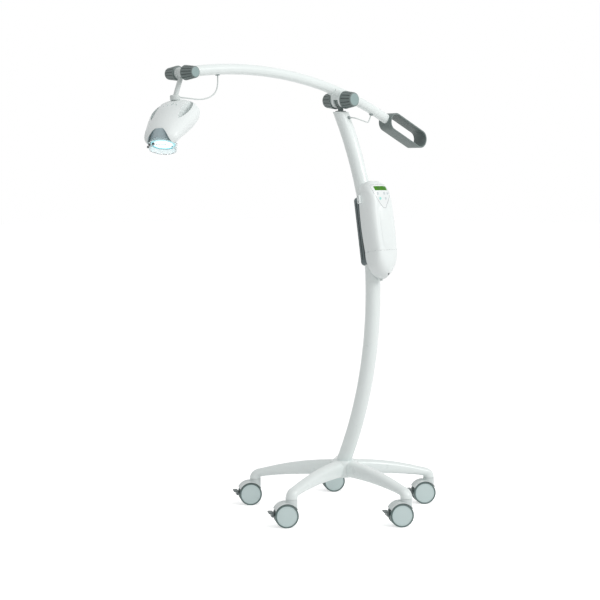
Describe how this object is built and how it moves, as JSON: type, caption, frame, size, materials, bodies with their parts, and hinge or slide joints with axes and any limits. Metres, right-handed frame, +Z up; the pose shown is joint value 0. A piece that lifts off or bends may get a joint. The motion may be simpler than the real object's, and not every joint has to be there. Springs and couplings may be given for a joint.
{
  "type": "teeth whitening lamp",
  "caption": "Curing lamp head on a curved boom over a bent mast, with a control unit on the mast and a star base on braked twin-wheel casters.",
  "frame": {"origin": "on the floor under the foot of the mast", "axes": "+Z up; the lamp head hangs towards -X, the loop handle points to +X and the control unit faces -Y"},
  "size_m": [1.2363, 0.6569, 1.4363],
  "materials": {
    "white_enamel": "gloss",
    "white_plastic": "satin",
    "light_grey_plastic": "satin",
    "grey_plastic": "matte",
    "collar_grey": "satin",
    "dark_plastic": "matte",
    "dark_rubber": "matte",
    "keypad_film": "satin",
    "display_glass": "gloss",
    "key_grey": "satin",
    "key_green": "satin",
    "steel": "satin",
    "board_green": "satin",
    "supply_metal": "satin",
    "cable_jacket": "satin",
    "indicator_lens": "gloss",
    "lens_glass": "gloss",
    "clear_ring": "gloss",
    "reflector_metal": "polished",
    "lamp_metal": "satin",
    "caster_plastic": "satin",
    "caster_tyre": "satin",
    "pedal_plastic": "satin"
  },
  "bodies": {
    "stand": {"star_base": "white_enamel", "caster_stems": "steel", "foot_bolt": "steel", "mast_tube": "white_enamel", "mast_top_plug": "dark_plastic", "mast_grommet": "dark_rubber", "clamp_cover": "grey_plastic", "unit_rear_shell": "white_plastic", "unit_front_shell": "white_plastic", "unit_lower_cover": "white_plastic", "cover_screw": "steel", "keypad_panel": "keypad_film", "display_window": "display_glass", "circuit_board": "board_green", "power_supply": "supply_metal", "power_inlet": "dark_plastic"},
    "swivel": {"swivel_post": "grey_plastic", "boom_cable": "cable_jacket"},
    "boom": {"boom_tube": "white_enamel", "boom_saddle": "light_grey_plastic", "loop_handle": "grey_plastic", "tilt_clevis": "light_grey_plastic", "joint_bolts": "steel", "boom_grommets": "dark_rubber"},
    "hanger": {"hanger_stem": "light_grey_plastic", "head_cable": "cable_jacket"},
    "head": {"head_upper_shell": "white_plastic", "head_lower_shell": "white_plastic", "indicator_lights": "indicator_lens", "port_collar": "collar_grey", "port_lens": "lens_glass", "reflector": "reflector_metal", "lamp_board": "lamp_metal", "light_guide_ring": "clear_ring", "guide_clips": "dark_plastic", "cooling_fan": "dark_plastic"},
    "pivot_knob_near_body": {"pivot_knob_near": "grey_plastic"},
    "pivot_knob_far_body": {"pivot_knob_far": "grey_plastic"},
    "tilt_knob_near_body": {"tilt_knob_near": "grey_plastic"},
    "tilt_knob_far_body": {"tilt_knob_far": "grey_plastic"},
    "key_1_body": {"key_1": "key_grey"},
    "key_2_body": {"key_2": "key_grey"},
    "key_3_body": {"key_3": "key_grey"},
    "key_4_body": {"key_4": "key_green"},
    "key_5_body": {"key_5": "key_grey"},
    "caster_1": {"caster_1_housing": "caster_plastic"},
    "caster_1_pair": {"caster_1_wheels": "caster_tyre"},
    "caster_1_brake": {"caster_1_pedal": "pedal_plastic"},
    "caster_2": {"caster_2_housing": "caster_plastic"},
    "caster_2_pair": {"caster_2_wheels": "caster_tyre"},
    "caster_2_brake": {"caster_2_pedal": "pedal_plastic"},
    "caster_3": {"caster_3_housing": "caster_plastic"},
    "caster_3_pair": {"caster_3_wheels": "caster_tyre"},
    "caster_3_brake": {"caster_3_pedal": "pedal_plastic"},
    "caster_4": {"caster_4_housing": "caster_plastic"},
    "caster_4_pair": {"caster_4_wheels": "caster_tyre"},
    "caster_4_brake": {"caster_4_pedal": "pedal_plastic"},
    "caster_5": {"caster_5_housing": "caster_plastic"},
    "caster_5_pair": {"caster_5_wheels": "caster_tyre"},
    "caster_5_brake": {"caster_5_pedal": "pedal_plastic"}
  },
  "joints": [
    {"name": "boom_swivel", "type": "hinge", "parent": "stand", "child": "swivel", "pos_m": [0, 0.0186, 1.3055], "axis": [0, 0, 1], "range_deg": [-120, 120]},
    {"name": "boom_pitch", "type": "hinge", "parent": "swivel", "child": "boom", "pos_m": [0, 0.0186, 1.3436], "axis": [0, 1, 0], "range_deg": [-30, 25], "deforming": ["boom_cable"]},
    {"name": "head_tilt", "type": "hinge", "parent": "boom", "child": "hanger", "pos_m": [-0.669, 0.0186, 1.39753], "axis": [0, 1, 0], "range_deg": [-30, 50], "deforming": ["head_cable"]},
    {"name": "head_swivel", "type": "hinge", "parent": "hanger", "child": "head", "pos_m": [-0.697, 0.0186, 1.3165], "axis": [0, 0, 1], "range_deg": [-75, 75]},
    {"name": "pivot_knob_near_turn", "type": "hinge", "parent": "boom", "child": "pivot_knob_near_body", "pos_m": [0, -0.0029, 1.3436], "axis": [0, -1, 0], "range_deg": [-10, 180]},
    {"name": "pivot_knob_far_turn", "type": "hinge", "parent": "boom", "child": "pivot_knob_far_body", "pos_m": [0, 0.0401, 1.3436], "axis": [0, 1, 0], "range_deg": [-10, 180]},
    {"name": "tilt_knob_near_turn", "type": "hinge", "parent": "boom", "child": "tilt_knob_near_body", "pos_m": [-0.669, 0.0019, 1.39753], "axis": [0, -1, 0], "range_deg": [-10, 180]},
    {"name": "tilt_knob_far_turn", "type": "hinge", "parent": "boom", "child": "tilt_knob_far_body", "pos_m": [-0.669, 0.0353, 1.39753], "axis": [0, 1, 0], "range_deg": [-10, 180]},
    {"name": "key_1_press", "type": "slide", "parent": "stand", "child": "key_1_body", "axis": [0, 0.9868, -0.1619], "range_m": [0, 0.0008], "stiffness_N_per_m": 600, "springref_m": -0.0012},
    {"name": "key_2_press", "type": "slide", "parent": "stand", "child": "key_2_body", "axis": [0, 0.9868, -0.1619], "range_m": [0, 0.0008], "stiffness_N_per_m": 600, "springref_m": -0.0012},
    {"name": "key_3_press", "type": "slide", "parent": "stand", "child": "key_3_body", "axis": [0, 0.9868, -0.1619], "range_m": [0, 0.0008], "stiffness_N_per_m": 600, "springref_m": -0.0012},
    {"name": "key_4_press", "type": "slide", "parent": "stand", "child": "key_4_body", "axis": [0, 0.9868, -0.1619], "range_m": [0, 0.0008], "stiffness_N_per_m": 600, "springref_m": -0.0012},
    {"name": "key_5_press", "type": "slide", "parent": "stand", "child": "key_5_body", "axis": [0, 0.9868, -0.1619], "range_m": [0, 0.0008], "stiffness_N_per_m": 600, "springref_m": -0.0012},
    {"name": "caster_1_swivel", "type": "hinge", "parent": "stand", "child": "caster_1", "pos_m": [-0.03395, -0.30512, 0.088], "axis": [0, 0, 1], "continuous": true},
    {"name": "caster_2_swivel", "type": "hinge", "parent": "stand", "child": "caster_2", "pos_m": [0.27969, -0.12658, 0.088], "axis": [0, 0, 1], "continuous": true},
    {"name": "caster_3_swivel", "type": "hinge", "parent": "stand", "child": "caster_3", "pos_m": [0.20681, 0.22689, 0.088], "axis": [0, 0, 1], "continuous": true},
    {"name": "caster_4_swivel", "type": "hinge", "parent": "stand", "child": "caster_4", "pos_m": [-0.15187, 0.2668, 0.088], "axis": [0, 0, 1], "continuous": true},
    {"name": "caster_5_swivel", "type": "hinge", "parent": "stand", "child": "caster_5", "pos_m": [-0.30068, -0.06199, 0.088], "axis": [0, 0, 1], "continuous": true},
    {"name": "caster_1_roll", "type": "hinge", "parent": "caster_1", "child": "caster_1_pair", "pos_m": [-0.04882, -0.29497, 0.0375], "axis": [0.5635, 0.8261, 0], "continuous": true},
    {"name": "caster_2_roll", "type": "hinge", "parent": "caster_2", "child": "caster_2_pair", "pos_m": [0.26482, -0.11644, 0.0375], "axis": [0.5635, 0.8261, 0], "continuous": true},
    {"name": "caster_3_roll", "type": "hinge", "parent": "caster_3", "child": "caster_3_pair", "pos_m": [0.19194, 0.23703, 0.0375], "axis": [0.5635, 0.8261, 0], "continuous": true},
    {"name": "caster_4_roll", "type": "hinge", "parent": "caster_4", "child": "caster_4_pair", "pos_m": [-0.16674, 0.27695, 0.0375], "axis": [0.5635, 0.8261, 0], "continuous": true},
    {"name": "caster_5_roll", "type": "hinge", "parent": "caster_5", "child": "caster_5_pair", "pos_m": [-0.31555, -0.05185, 0.0375], "axis": [0.5635, 0.8261, 0], "continuous": true},
    {"name": "caster_1_brake_press", "type": "hinge", "parent": "caster_1", "child": "caster_1_brake", "pos_m": [-0.07113, -0.27976, 0.0455], "axis": [-0.5635, -0.8261, 0], "range_deg": [0, 14]},
    {"name": "caster_2_brake_press", "type": "hinge", "parent": "caster_2", "child": "caster_2_brake", "pos_m": [0.24252, -0.10122, 0.0455], "axis": [-0.5635, -0.8261, 0], "range_deg": [0, 14]},
    {"name": "caster_3_brake_press", "type": "hinge", "parent": "caster_3", "child": "caster_3_brake", "pos_m": [0.16964, 0.25224, 0.0455], "axis": [-0.5635, -0.8261, 0], "range_deg": [0, 14]},
    {"name": "caster_4_brake_press", "type": "hinge", "parent": "caster_4", "child": "caster_4_brake", "pos_m": [-0.18905, 0.29216, 0.0455], "axis": [-0.5635, -0.8261, 0], "range_deg": [0, 14]},
    {"name": "caster_5_brake_press", "type": "hinge", "parent": "caster_5", "child": "caster_5_brake", "pos_m": [-0.33785, -0.03664, 0.0455], "axis": [-0.5635, -0.8261, 0], "range_deg": [0, 14]}
  ]
}
